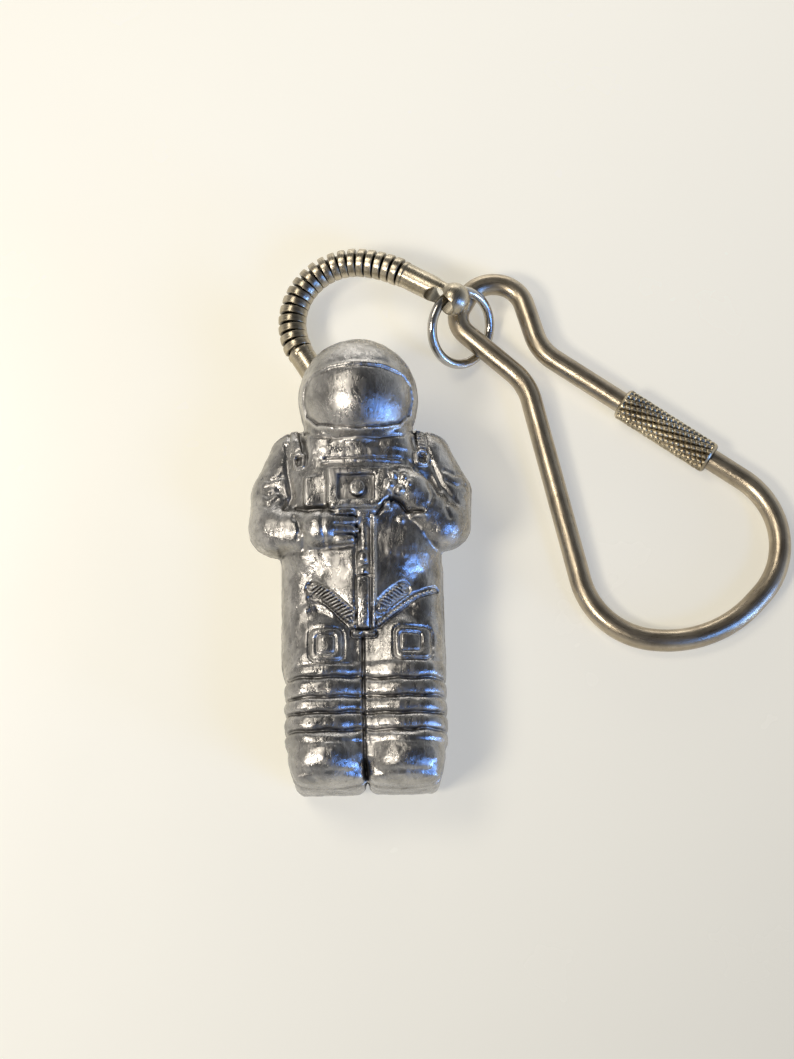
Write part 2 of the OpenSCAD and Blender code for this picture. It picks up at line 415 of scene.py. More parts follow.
def tube(name, path, radius, sides, closed, place):
    """A round wire along a path of points in one plane, z = 0, with rounded ends if it isn't closed."""
    centres = np.asarray(path, float)
    ahead = np.roll(centres, -1, 0) - centres
    if not closed:
        ahead[-1] = ahead[-2]
    step = np.linalg.norm(ahead, axis=1)
    ahead /= step[:, None]
    tangents = ahead + np.roll(ahead, 1, 0)
    if not closed:
        tangents[0] = ahead[0]
        tangents[-1] = ahead[-1]
    tangents /= np.linalg.norm(tangents, axis=1)[:, None]
    radii = np.full(len(centres), radius)
    runs = np.concatenate([[0], np.cumsum(step[:-1])])
    if not closed:
        centres, tangents, radii, runs = round_ends(centres, tangents, runs, radius)

    side = np.stack([-tangents[:, 1], tangents[:, 0], np.zeros(len(tangents))], 1)
    up = np.array([0, 0, 1.0])
    turns = np.arange(sides) * 2 * math.pi / sides
    points = (
        centres[:, None, :]
        + radii[:, None, None]
        * (np.cos(turns)[None, :, None] * side[:, None, :] + np.sin(turns)[None, :, None] * up)
    ).reshape(-1, 3)
    count = len(centres)
    faces = ring_faces(count, sides, closed)
    if not closed:
        faces.append(tuple(range(sides - 1, -1, -1)))
        faces.append(tuple(range((count - 1) * sides, count * sides)))
    made = mesh_object(name, points, faces, place)
    grain = np.stack([
        np.repeat(runs, sides),
        np.tile(np.cos(turns), count) * radius,
        np.tile(np.sin(turns), count) * radius,
    ], 1)
    set_values(made, "grain", grain)
    return made


def bent_path(route, step):
    """A path along straight runs joined by bends. The route is a list of (x, y, bend radius)."""
    corners = [Vector(p[:2]) for p in route]
    made = [corners[0]]

    def go_straight(end):
        first = made[-1]
        count = max(1, round((end - first).length / step))
        made.extend(first.lerp(end, k / count) for k in range(1, count + 1))

    for i in range(1, len(route) - 1):
        back = (corners[i - 1] - corners[i]).normalized()
        ahead = (corners[i + 1] - corners[i]).normalized()
        half = back.angle(ahead) / 2
        radius = route[i][2]
        centre = corners[i] + (back + ahead).normalized() * radius / math.sin(half)
        start = corners[i] + back * radius / math.tan(half)
        go_straight(start)
        sweep = math.pi - 2 * half
        side = 1 if back.x * ahead.y - back.y * ahead.x < 0 else -1
        count = max(3, round(sweep * radius / step))
        arm = start - centre
        for k in range(1, count + 1):
            turn = side * sweep * k / count
            made.append(centre + Matrix.Rotation(turn, 2) @ arm)
    go_straight(corners[-1])
    return [(p.x, p.y, 0) for p in made]


# ---------- shapes as distances ----------


class Shape:
    """A block of space on a fine grid, in millimetres, that holds the distance to a surface.
    Forms are joined to it or cut from it with a soft edge, and only near themselves."""

    def __init__(self, low, high, voxel):
        self.voxel = voxel
        self.low = np.array(low, np.float32)
        counts = [math.ceil((b - a) / voxel) + 1 for a, b in zip(low, high)]
        self.axes = [np.float32(low[i]) + np.float32(voxel) * np.arange(counts[i], dtype=np.float32)
                     for i in range(3)]
        self.distance = np.full(counts, FAR, np.float32)

    def window(self, low, high):
        """The part of the grid between two corners: its slices and its coordinates."""
        cuts = tuple(
            slice(int(np.searchsorted(axis, a)), max(int(np.searchsorted(axis, b)), 1))
            for axis, a, b in zip(self.axes, low, high)
        )
        x, y, z = (axis[cut] for axis, cut in zip(self.axes, cuts))
        return cuts, (x[:, None, None], y[None, :, None], z[None, None, :])

    def join(self, form, soft=0.3):
        """Adds a form, with a fillet of about the soft width."""
        self.blend(form, soft, 1, 1.2 + soft)

    def cut(self, form, soft=0.15):
        """Takes a form away, with an edge rounded over about the soft width."""
        self.blend(form, soft, -1, 0.6 + soft)

    def blend(self, form, soft, sign, margin):
        distance_at, low, high = form
        cuts, xyz = self.window([v - margin for v in low], [v + margin for v in high])
        old = self.distance[cuts]
        new = sign * distance_at(*xyz)
        h = np.clip(0.5 + sign * 0.5 * (old - new) / soft, 0, 1)
        self.distance[cuts] = old + (new - old) * h - sign * soft * h * (1 - h)

    def noise(self, cell, seed):
        """Smooth random values from -1 to 1, one to each cell of that size."""
        rng = np.random.default_rng(seed)
        weights = []
        for axis in self.axes:
            u = (axis - axis[0]) / cell
            i = np.floor(u).astype(int)
            f = (u - i).astype(np.float32)
            weights.append((i, f * f * (3 - 2 * f)))
        grid = rng.uniform(-1, 1, [w[0][-1] + 2 for w in weights]).astype(np.float32)
        for k, (i, f) in enumerate(weights):
            f = f.reshape([-1 if m == k else 1 for m in range(3)])
            grid = np.take(grid, i, k) * (1 - f) + np.take(grid, i + 1, k) * f
        return grid

    def sample(self, points):
        """Distances at points, in millimetres, between the grid's own."""
        u = (points - self.low) / self.voxel
        top = np.array(self.distance.shape) - 1.001
        u = np.clip(u, 0, top)
        i = np.floor(u).astype(int)
        f = u - i
        total = 0
        for corner in np.ndindex(2, 2, 2):
            weight = np.prod(np.where(corner, f, 1 - f), axis=1)
            total = total + weight * self.distance[tuple((i + corner).T)]
        return total

    def mesh(self, name, place, most_triangles=None):
        """The surface as a mesh in its place, thinned where it would have too many triangles."""
        band = 3 * self.voxel
        grid = openvdb.FloatGrid(band)
        grid.copyFromArray(np.clip(self.distance, -band, band))
        points, quads = grid.convertToQuads(0.0)
        points = points * self.voxel + self.low
        made = mesh_object(name, points, quads.tolist())
        if most_triangles is not None and 2 * len(quads) > most_triangles:
            thin = made.modifiers.new("thin", "DECIMATE")
            thin.ratio = most_triangles / (2 * len(quads))
            bpy.context.view_layer.update()
            thinned = bpy.data.meshes.new_from_object(
                made.evaluated_get(bpy.context.evaluated_depsgraph_get()))
            made.modifiers.clear()
            made.data = thinned
            thinned.name = name
            thinned.shade_smooth()
        self.mark_recesses(made)
        turn = Matrix(place)
        turn.translation = turn.translation * MM
        made.data.transform(turn)
        return made

    def mark_recesses(self, made):
        """Says for each point how far it lies in a recess, where the materials paint shade, and how far it
        stands proud.
        """
        count = len(made.data.vertices)
        points = np.empty(count * 3, np.float32)
        normals = np.empty(count * 3, np.float32)
        made.data.vertices.foreach_get("co", points)
        made.data.vertices.foreach_get("normal", normals)
        points = points.reshape(-1, 3) / MM
        normals = normals.reshape(-1, 3)
        recess, wear = 0, 0
        for reach, weight in ((0.25, 0.4), (0.5, 0.35), (0.9, 0.25)):
            outside = self.sample(points + normals * reach)
            inside = self.sample(points - normals * reach)
            recess = recess + weight * np.clip(1 - outside / reach, 0, 1)
            wear = wear + weight * np.clip(1 + inside / reach, 0, 1)
        # The recess value darkens hollows as painted shade, on the pewter together with its antiquing.
        set_values(made, "recess", recess)
        set_values(made, "wear", wear)
        set_values(made, "grain", points)


def ball(p, r):
    def distance(x, y, z):
        return np.sqrt((x - p[0]) ** 2 + (y - p[1]) ** 2 + (z - p[2]) ** 2) - r
    return distance, [v - r for v in p], [v + r for v in p]


def bone(a, ra, b, rb):
    """A limb between two points, with its own radius at each."""
    a, b = np.array(a, np.float32), np.array(b, np.float32)
    axis = b - a
    length = float(axis @ axis)

    def distance(x, y, z):
        px, py, pz = x - a[0], y - a[1], z - a[2]
        t = np.clip((px * axis[0] + py * axis[1] + pz * axis[2]) / length, 0, 1)
        dx, dy, dz = px - t * axis[0], py - t * axis[1], pz - t * axis[2]
        return np.sqrt(dx * dx + dy * dy + dz * dz) - (ra + t * (rb - ra))
    low = np.minimum(a - ra, b - rb)
    high = np.maximum(a + ra, b + rb)
    return distance, list(low), list(high)


def egg(p, radii):
    """An ellipsoid. Its distance is near enough close to its surface."""
    def distance(x, y, z):
        u, v, w = (x - p[0]) / radii[0], (y - p[1]) / radii[1], (z - p[2]) / radii[2]
        k0 = np.sqrt(u * u + v * v + w * w) + 1e-6
        k1 = np.sqrt((u / radii[0]) ** 2 + (v / radii[1]) ** 2 + (w / radii[2]) ** 2) + 1e-6
        return k0 * (k0 - 1) / k1
    return distance, [c - r for c, r in zip(p, radii)], [c + r for c, r in zip(p, radii)]


def block(p, half, corner):
    """A box with rounded edges, from its middle and half its size each way."""
    def distance(x, y, z):
        qx = np.abs(x - p[0]) - (half[0] - corner)
        qy = np.abs(y - p[1]) - (half[1] - corner)
        qz = np.abs(z - p[2]) - (half[2] - corner)
        outside = np.sqrt(np.maximum(qx, 0) ** 2 + np.maximum(qy, 0) ** 2 + np.maximum(qz, 0) ** 2)
        return outside + np.minimum(np.maximum(np.maximum(qx, qy), qz), 0) - corner
    return distance, [a - b for a, b in zip(p, half)], [a + b for a, b in zip(p, half)]


def rod(a, b, r, corner):
    """A cylinder between two points, with rounded rims."""
    a, b = np.array(a, np.float32), np.array(b, np.float32)
    axis = b - a
    length = float(np.linalg.norm(axis))
    axis = axis / length

    def distance(x, y, z):
        px, py, pz = x - a[0], y - a[1], z - a[2]
        t = px * axis[0] + py * axis[1] + pz * axis[2]
        dx, dy, dz = px - t * axis[0], py - t * axis[1], pz - t * axis[2]
        across = np.sqrt(dx * dx + dy * dy + dz * dz) - (r - corner)
        ends = np.abs(t - length / 2) - (length / 2 - corner)
        outside = np.sqrt(np.maximum(across, 0) ** 2 + np.maximum(ends, 0) ** 2)
        return outside + np.minimum(np.maximum(across, ends), 0) - corner
    return distance, list(np.minimum(a, b) - r), list(np.maximum(a, b) + r)


# ---------- relief on the statuette's front ----------


class Relief:
    """A map of how far the statuette's front stands proud of its plain form, over X and Y."""

    def __init__(self, shape):
        self.x = shape.axes[0][:, None]
        self.y = shape.axes[1][None, :]
        self.height = np.zeros((len(shape.axes[0]), len(shape.axes[1])), np.float32)

    def line(self, points):
        """For a line through points: how far each place is from it, along it and to its right side."""
        near = np.full(self.height.shape, 1e3, np.float32)
        along = np.zeros_like(near)
        side = np.zeros_like(near)
        done = 0.0
        for (ax, ay), (bx, by) in zip(points, points[1:]):
            dx, dy = bx - ax, by - ay
            length = math.hypot(dx, dy)
            t = np.clip(((self.x - ax) * dx + (self.y - ay) * dy) / length ** 2, 0, 1)
            away = np.hypot(self.x - ax - t * dx, self.y - ay - t * dy)
            closer = away < near
            near = np.where(closer, away, near)
            along = np.where(closer, done + t * length, along)
            across = ((self.x - ax) * dy - (self.y - ay) * dx) / length
            side = np.where(closer, across, side)
            done += length
        return near, along, side

    def groove(self, points, width, depth):
        near = self.line(points)[0]
        self.height -= depth * bell(near, width)

    def ridge(self, points, width, height):
        self.groove(points, width, -height)

    def band(self, points, half, height, rib_pitch=0, rib_depth=0.0, slant=0.0, edge=0.2):
        """A flat band along a line, with a groove along each edge, and ribs across it."""
        near, along, side = self.line(points)
        flat = step_down(near, half, 0.1)
        self.height += height * flat
        if rib_pitch:
            wave = np.cos(2 * math.pi * (along + slant * side) / rib_pitch)
            self.height += flat * rib_depth * (np.clip(wave * 1.6, -1, 1) - 1) / 2
        self.height -= edge * bell(near - half - 0.08, 0.12)

    def frame(self, low, high, corner, groove, depth):
        """A groove round a rectangle with rounded corners."""
        self.height -= depth * bell(self.inside(low, high, corner), groove)

    def inside(self, low, high, corner):
        """Distance to a rectangle with rounded corners, less than nothing inside it."""
        cx, cy = (low[0] + high[0]) / 2, (low[1] + high[1]) / 2
        hx, hy = (high[0] - low[0]) / 2 - corner, (high[1] - low[1]) / 2 - corner
        qx, qy = np.abs(self.x - cx) - hx, np.abs(self.y - cy) - hy
        return (
            np.hypot(np.maximum(qx, 0), np.maximum(qy, 0))
            + np.minimum(np.maximum(qx, qy), 0) - corner
        )

    def outline(self, points):
        """Distance to a closed outline, less than nothing inside it."""
        near = self.line([*points, points[0]])[0]
        odd = np.zeros(self.height.shape, bool)
        for (ax, ay), (bx, by) in zip(points, [*points[1:], points[0]]):
            if ay == by:
                continue
            between = (self.y > min(ay, by)) & (self.y <= max(ay, by))
            odd ^= between & (self.x < ax + (self.y - ay) * (bx - ax) / (by - ay))
        return np.where(odd, -near, near)


def step_down(value, edge, soft):
    """1 below the edge, 0 above it, with a soft step between."""
    t = np.clip((edge + soft - value) / (2 * soft), 0, 1)
    return t * t * (3 - 2 * t)


def step_up(value, edge, soft):
    """0 below the edge, 1 above it, with a soft step between."""
    return step_down(-value, -edge, soft)


def bell(value, width):
    """1 where the value is 0, falling away smoothly on both sides."""
    return np.exp(-(value / width) ** 2)


# ---------- the statuette ----------

LEFT, RIGHT = -1, 1
LEG_PARTING_X = 0.1
FINGER_PITCH = 0.93
KNOB_AT = (-0.2, 0.05)
VISOR_RIGHT_HALF = (
    (0, 5.95), (2.2, 6.15), (3.9, 6.75), (4.9, 7.8), (5.2, 9.2), (5.05, 10.4), (4.4, 11.1),
    (2.4, 11.5), (0, 11.6),
)
LEFT_CREASES = (-17.7, -19.6, -21.1, -22.8)
RIGHT_CREASES = (-17.9, -19.6, -21.2, -22.8)
PADS_TOP_Y, PADS_FOOT_Y = -16.2, -24.3
BOOT_TOP_Y, SOLE_TOP_Y = -23.9, -26.6


def body_forms(shape):
    """Pack, trunk, legs, boots and head."""
    # pack, trunk, chest, belly and its fuller right side
    shape.join(block((0, 0, 2.3), (6.5, 9, 2.3), 0.7), 0.01)
    shape.join(block((0, -0.6, 7.1), (7.8, 7.9, 4.1), 3.9), 0.5)
    shape.join(egg((0, 1.0, 8.6), (6.6, 6.4, 3.9)), 0.8)
    shape.join(egg((0.2, -7.6, 7.7), (5.9, 7.2, 3.6)), 1.0)
    shape.join(egg((3.4, -5.2, 8.5), (3.0, 3.5, 2.5)), 0.8)
    # thighs, calves and the web between them
    for side in (LEFT, RIGHT):
        centre = 3.85 * side + LEG_PARTING_X
        shape.join(block((centre, -11.2, 6.1), (3.9, 7.3, 3.65), 2.9), 0.35)
        calf = 3.85 if side == RIGHT else 3.7
        shape.join(block((calf * side + LEG_PARTING_X, -19.5, 6.4), (calf, 6.2, 3.75), 2.7), 0.25)
        knee, ankle = (centre - 0.4 * side, -13.5, 7.1), (centre - 0.3 * side, -23.4, 6.9)
        shape.join(bone(knee, 3.3, ankle, 3.2), 0.3)
    shape.join(block((LEG_PARTING_X, -19.3, 6.6), (2.6, 6.4, 3.1), 0.9), 0.5)
    # boots: shaft, instep and sole
    for side in (LEFT, RIGHT):
        centre = 3.6 * side + 0.25
        shape.join(block((centre, -25.2, 5.5), (3.55, 2.35, 4.7), 2.25), 0.3)
        shape.join(egg((centre, -24.9, 7.6), (3.75, 2.75, 3.2)), 0.5)
        shape.join(block((centre - 0.1 * side, -26.3, 5.3), (3.4, 1.15, 4.2), 1.0), 0.35)
    # neck, collar, helmet and its chin
    shape.join(bone((0, 5.6, 9.1), 3.1, (0, 3.8, 8.8), 3.1), 0.5)
    shape.join(block((0, 5.3, 8.8), (5.6, 3.2, 3.5), 2.8), 0.5)
    shape.join(egg((0, 10.35, 9.8), (5.8, 5.75, 5.75)), 0.3)
    shape.join(egg((0, 8.4, 9.3), (5.3, 4.6, 4.9)), 0.5)


def arm_forms(shape):
    """The left arm folded across the belly, the right one raised to the chest unit."""
    # each arm from the shoulder to the elbow, round the elbow, and along the forearm
    shape.join(bone((-5.9, 4.7, 7.3), 3.0, (-7.7, 1.2, 7.3), 2.75), 0.4)
    shape.join(bone((-7.7, 1.2, 7.3), 2.8, (-8.1, -2.3, 7.9), 2.75), 0.5)
    shape.join(bone((-7.9, -2.9, 8.6), 2.45, (-3.4, -3.4, 10.7), 1.95), 0.4)
    shape.join(bone((6.2, 4.4, 7.3), 3.0, (7.9, 1.2, 7.3), 2.8), 0.4)
    shape.join(bone((7.9, 1.2, 7.3), 2.85, (8.0, -2.0, 7.9), 2.75), 0.5)
    shape.join(bone((7.6, -2.6, 8.9), 2.55, (4.9, 0.2, 10.9), 2.05), 0.3)
    # folded fist: four fingers one above another, and the back of the hand
    for i, reach in enumerate((-0.95, -0.6, -0.65, -0.9)):
        y = -2.05 - FINGER_PITCH * i
        shape.join(bone((-1.9, y, 11.75), 0.62, (reach, y, 11.8), 0.55), 0.1)
    shape.join(bone((-3.9, -3.4, 10.9), 1.9, (-1.9, -3.4, 10.9), 1.75), 0.3)
    # raised hand: fingertips gathered beside the chest unit
    for x, y, r in (
        (3.3, 1.35, 0.5), (2.95, 0.3, 0.52), (4.25, 1.05, 0.5), (3.8, -0.25, 0.48), (4.7, 0.35, 0.45),
    ):
        shape.join(bone((x + 0.5, y - 0.1, 12.0), r, (x, y, 12.65), r), 0.06)
    shape.join(egg((3.9, 0.6, 11.4), (2.1, 1.9, 1.4)), 0.3)


def chest_forms(shape):
    """The chest unit, the hose below it and the small studs beside the hose."""
    # chest unit with its well and knob, and the box beside it
    shape.join(block((-0.1, 0.2, 11.2), (3.0, 2.05, 1.65), 0.35), 0.2)
    shape.cut(block((-0.3, 0.2, 13.2), (1.8, 1.3, 0.95), 0.15), 0.08)
    shape.join(rod((*KNOB_AT, 11.6), (*KNOB_AT, 13.05), 0.76, 0.22), 0.05)
    shape.join(block((-4.4, 0.15, 10.75), (0.95, 1.65, 1.05), 0.35), 0.25)
    # ribbed hose, the two beads below it, and two studs on the right sleeve
    for i in range(8):
        shape.join(ball((0.35, -2.2 - 0.46 * i, 11.25 - 0.02 * i), 0.5), 0.05)
    shape.join(egg((0.25, -6.4, 11.15), (0.6, 0.8, 0.6)), 0.08)
    shape.join(egg((0.25, -7.7, 11.05), (0.5, 0.6, 0.5)), 0.08)
    shape.join(ball((2.7, -1.6, 11.9), 0.32), 0.05)
    shape.join(ball((3.9, -2.7, 11.0), 0.5), 0.1)


def visor_relief(relief, visor):
    """The sunk visor with a groove and a rim round it, fainter at its sides, where the front turns away."""
    face_on = 0.6 + 0.4 * step_down(np.abs(relief.x), 4.0, 0.7)
    rim = bell(visor - 0.28, 0.18)
    relief.height -= 0.09 * step_down(visor, 0, 0.14) * face_on
    relief.height -= 0.13 * bell(visor, 0.12) * face_on
    relief.height += 0.12 * rim * face_on
    relief.height += 0.06 * rim * step_down(relief.y, 8.0, 0.5)


def collar_relief(relief):
    """Soft ribs between the helmet and the chest, then the collar's edges."""
    neck = step_down(np.abs(relief.x), 4.9, 0.5) * step_down(np.abs(relief.y - 4.7), 1.4, 0.3)
    relief.height += neck * 0.022 * np.cos(2 * math.pi * (relief.y - 5.98) / 0.79)
    relief.groove([(-5.2, 6.4), (-4.2, 5.6), (-2, 5.25), (2, 5.25), (4.2, 5.6), (5.2, 6.4)], 0.14, 0.2)
    relief.groove([(-3.3, 3.4), (4.0, 3.25)], 0.12, 0.2)
    relief.groove([(-3.6, 2.9), (3.6, 2.8)], 0.1, 0.1)
    relief.ridge([(-3.6, 3.15), (4.1, 3.03)], 0.13, 0.1)


def strap_relief(relief):
    """Shoulder straps with their buckles, and fine hoops in the right strap."""
    relief.band([(-6.3, 7.2), (-6.2, 6.0), (-5.9, 4.4)], 0.42, 0.1, edge=0.14)
    relief.band([(5.9, 7.0), (6.0, 6.0), (6.2, 4.4)], 0.42, 0.1, edge=0.14)
    relief.groove([(-5.4, 5.6), (-5.1, 4.4), (-5.2, 3.2)], 0.2, 0.2)
    relief.groove([(5.2, 5.6), (5.4, 4.6)], 0.18, 0.16)
    for low, high in (((-6.45, 2.7), (-5.15, 4.5)), ((5.4, 2.9), (6.8, 4.6))):
        away = relief.inside(low, high, 0.55)
        relief.height += 0.2 * bell(away + 0.18, 0.17)
        relief.height -= 0.22 * bell(away + 0.58, 0.19)
        relief.height -= 0.08 * bell(away - 0.12, 0.14)
    hoops = step_down(relief.line([(5.5, 7.6), (6.1, 4.9)])[0], 0.42, 0.1)
    relief.height += hoops * 0.06 * np.cos(2 * math.pi * (relief.y + 0.25 * relief.x) / 0.34)


def sleeve_relief(relief):
    """Folds of the sleeves, the folded arm's cuff, and the seams between its fingers."""
    under_hand = [(1.7, -2.2), (2.5, -1.25), (3.2, -0.85), (3.9, -1.2), (4.5, -1.95), (6.0, -2.1)]
    relief.groove(under_hand, 0.16, 0.4)
    relief.ridge([(5.0, -2.55), (6.2, -2.45)], 0.16, 0.2)
    relief.groove([(5.0, 3.0), (6.8, 1.4), (7.7, -0.2)], 0.3, 0.22)
    relief.groove([(7.0, 3.4), (7.9, 1.0), (9.3, -0.8)], 0.25, 0.18)
    relief.groove([(-7.0, 5.4), (-6.9, 2.2), (-6.4, 0.2), (-7.2, -1.2)], 0.3, 0.2)
    relief.groove([(-6.0, -1.2), (-5.0, -1.6), (-3.0, -1.6)], 0.25, 0.32)
    relief.groove([(-7.6, -5.2), (-5.0, -5.6), (-2.8, -5.35), (-0.8, -5.3)], 0.25, 0.15)
    for points in (
        [(-9.3, 2.3), (-8.6, 1.8), (-7.5, 2.3)],
        [(-9.7, 0.9), (-8.8, 0.3), (-7.6, 0.9)],
        [(-9.9, -0.3), (-8.8, -0.8), (-8.0, -0.3)],
        [(-9.0, 1.2), (-8.1, 1.3), (-7.3, 0.2)],
        [(-5.9, -3.2), (-5.3, -4.4), (-5.4, -5.2)],
        [(-6.3, -2.4), (-5.6, -3.2), (-5.9, -4.4)],
        [(8.2, 2.6), (9.2, 2.2), (10.0, 2.5)],
        [(8.4, 1.5), (9.4, 1.0), (10.2, 1.4)],
        [(8.6, -0.6), (8.2, -1.6), (8.6, -2.6)],
        [(6.6, 0.6), (7.0, -0.6), (6.7, -1.5)],
    ):
        relief.groove(points, 0.2, 0.15)
    relief.groove([(-3.4, -1.7), (-3.6, -3.4), (-3.3, -5.2)], 0.16, 0.12)
    for i in range(3):
        seam = -2.5 - FINGER_PITCH * i
        relief.groove([(-2.4, seam), (-0.4, seam)], 0.09, 0.22)


def flap_relief(relief):
    """The middle flap, the ridge and grooves beside it, and its foot."""
    flap = relief.inside((-0.4, -13.1), (0.75, -8.3), 0.2)
    relief.height += 0.24 * step_down(flap, 0, 0.1)
    relief.height -= 0.2 * bell(flap - 0.1, 0.11)
    relief.ridge([(1.35, -2.6), (1.3, -8), (1.15, -13.0)], 0.15, 0.32)
    relief.groove([(1.0, -2.8), (0.95, -8)], 0.12, 0.16)
    relief.groove([(-0.35, -2.2), (-0.4, -5.8)], 0.13, 0.2)
    relief.groove([(-0.5, -6.0), (-0.45, -8.2)], 0.12, 0.2)
    foot = relief.inside((-0.9, -13.75), (1.3, -13.25), 0.15)
    relief.height += 0.3 * step_down(foot, 0, 0.1)
    relief.height -= 0.18 * bell(foot - 0.1, 0.12)


def hip_relief(relief):
    """Ribbed hip bands, the corded edge below the right one, and the crease below the left one."""
    left, right = [(-4.6, -9.0), (-3.5, -9.7), (-1.1, -12.0)], [(1.9, -11.2), (2.7, -10.3), (4.0, -9.3)]
    relief.band(left, 0.52, 0.2, rib_pitch=0.37, rib_depth=0.42, slant=0.5)
    relief.band(right, 0.5, 0.18, rib_pitch=0.37, rib_depth=0.34, slant=-0.4)
    near, along = relief.line([(1.6, -12.7), (3.6, -11.1), (5.1, -9.9), (7.0, -9.1)])[:2]
    bead = np.clip(np.cos(2 * math.pi * along / 0.42) + 0.4, 0, 1)
    relief.height += 0.17 * bead * step_down(near, 0.16, 0.08)
    relief.height -= 0.2 * bell(near - 0.26, 0.11)
    relief.groove([(-5.0, -9.9), (-3.4, -10.6), (-1.0, -13.1)], 0.15, 0.18)
    relief.ridge([(-5.4, -11.0), (-4.2, -10.5), (-2.8, -11.4)], 0.3, 0.13)


def pocket_relief(relief):
    """A raised pocket with a frame inside it on each thigh."""
    for low, high, inner_low, inner_high in (
        ((-4.9, -16.1), (-1.8, -13.1), (-4.3, -15.5), (-2.5, -13.7)),
        ((3.1, -16.0), (6.5, -13.0), (3.6, -15.3), (5.6, -13.6)),
    ):
        away = relief.inside(low, high, 0.6)
        relief.height += 0.15 * step_down(away, 0, 0.14)
        relief.height -= 0.16 * bell(away - 0.1, 0.13)
        relief.frame(inner_low, inner_high, 0.35, 0.12, 0.2)


def front_relief(shape):
    """Creases, straps, pockets and the other low relief of the front, with the visor's outline."""
    relief = Relief(shape)
    left_half = [(-x, y) for x, y in VISOR_RIGHT_HALF[-2:0:-1]]
    visor = relief.outline([*VISOR_RIGHT_HALF, *left_half])
    visor_relief(relief, visor)
    for add in (collar_relief, strap_relief, sleeve_relief, flap_relief, hip_relief, pocket_relief):
        add(relief)
    relief.groove([(LEG_PARTING_X, -13.6), (0.05, -18), (0.12, -28)], 0.16, 0.42)
    return relief, visor


def leg_creases(shape):
    """How far the legs' padded rings stand out or draw in."""
    relief = Relief(shape)
    x, y, height = relief.x, relief.y, relief.height
    for side, creases in ((LEFT, LEFT_CREASES), (RIGHT, RIGHT_CREASES)):
        mine = step_up(side * x, 0, 0.1)
        for above, below in zip((PADS_TOP_Y, *creases), (*creases, PADS_FOOT_Y)):
            share = np.clip((above - y) / (above - below), 0, 1)
            height += mine * 0.2 * (1 - (2 * share - 1) ** 2)
        for crease in creases:
            sag = 0.014 * (np.abs(x) - 3.9) ** 2 + 0.06 * np.sin(2.1 * x + crease)
            height -= mine * 0.24 * bell(y - crease - sag, 0.14)
            height -= mine * 0.1 * bell(y - crease - sag, 0.4)
        height -= mine * 0.14 * bell(y - BOOT_TOP_Y, 0.25)
        height -= mine * 0.08 * bell(y - SOLE_TOP_Y, 0.25)
    above_left_pad = step_down(x, -1.0, 0.5) * step_up(x, -6.0, 0.5)
    height -= 0.2 * bell(y + 16.45, 0.13) * above_left_pad
    return height


def cast_skin(shape, relief, visor):
    """The casting's uneven skin, quieter on the visor and on the knob."""
    knob = np.hypot(relief.x - KNOB_AT[0], relief.y - KNOB_AT[1])
    calm = 1 - 0.8 * np.maximum(step_down(visor, -0.1, 0.2), step_down(knob, 0.8, 0.15))
    layers = ((0.03, 0.36, 11), (0.035, 0.8, 12), (0.05, 2.1, 13))
    lumps = sum(height * shape.noise(cell, seed) for height, cell, seed in layers)
    above_table = step_up(shape.axes[2], 0.5, 0.3)
    shape.distance += lumps * calm[:, :, None] * above_table


def parting_line(shape):
    """The thin flash that the mould leaves round the sides: low on the legs, higher on arms and head."""
    y, z = shape.axes[1], shape.axes[2]
    height = 6.4 + 0.8 * step_up(y, -6.0, 2.0) + 2.5 * step_up(y, 6.5, 1.0)
    away = z[None, :] - height[:, None]
    shape.distance -= (0.12 * bell(away, 0.13))[None, :, :]
    shape.distance += (0.07 * bell(away - 0.34, 0.16))[None, :, :]


def pack_seams(shape, relief):
    """Two level grooves round the pack."""
    z = shape.axes[2]
    pack = step_down(relief.inside((-6.8, -9.3), (6.8, 9.3), 0.7), 0, 0.1)
    seams = bell(z - 3.2, 0.12) + bell(z - 1.2, 0.12)
    shape.distance += 0.16 * pack[:, :, None] * seams


def make_statuette():
    voxel = 0.1
    shape = Shape((-11.7, -29.5, -0.35), (11.7, 17.7, 16.3), voxel)
    body_forms(shape)
    arm_forms(shape)
    chest_forms(shape)

    relief, visor = front_relief(shape)
    z = shape.axes[2]
    front = step_up(z, 7.6, 0.6)
    sides = step_up(z, 1.2, 0.5)
    shape.distance -= relief.height[:, :, None] * front
    creases = leg_creases(shape)
    shape.distance -= creases[:, :, None] * (0.35 * sides + 0.65 * front)

    cast_skin(shape, relief, visor)
    parting_line(shape)
    pack_seams(shape, relief)
    under_table = block((0, 0, -1.0), (13, 30, 1.0), 0.0)
    shape.cut(under_table, 0.01)
    return shape


# ---------- hardware ----------

LINK_COUNT = 19
JOINT_GAP = 0.15
SOCKET_R, NECK_R, NECK_BORE_R = 1.12, 0.95, 0.75
CAP_R, CAP_REACH = 1.3, 5.85
JUMP_R, JUMP_WIRE = 3.75, 1.0
KEY_WIRE = 2.2
SLEEVE_AT = Vector((31.3, 10))
SLEEVE_HEADING = math.radians(-34.5)
SLEEVE_DIRECTION = Vector((math.cos(SLEEVE_HEADING), math.sin(SLEEVE_HEADING)))


def link_profile():
    """A link cut along its axis: a band with a socket behind it and a hollow neck in front."""
    pitch, band_half, link_r = 0.96, 0.37, 1.45
    root_r, neck_reach, web_at = 1.1, 0.3, 0.12
    neck_end = pitch / 2 + neck_reach
    return rounded([
        (-band_half, SOCKET_R, 0.04),
        (-band_half, link_r - 0.1, 0.02),
        (-band_half + 0.05, link_r - 0.02, 0.03),
        (0, link_r + 0.01, 0.1),
        (band_half - 0.05, link_r, 0.03),
        (band_half, link_r - 0.1, 0.02),
        (band_half, root_r, 0.03),
        (pitch / 2, NECK_R, 0.03),
        (neck_end, NECK_R, 0.03),
        (neck_end, NECK_BORE_R, 0.03),
        (web_at, NECK_BORE_R, 0),
        (web_at, SOCKET_R, 0),
    ])


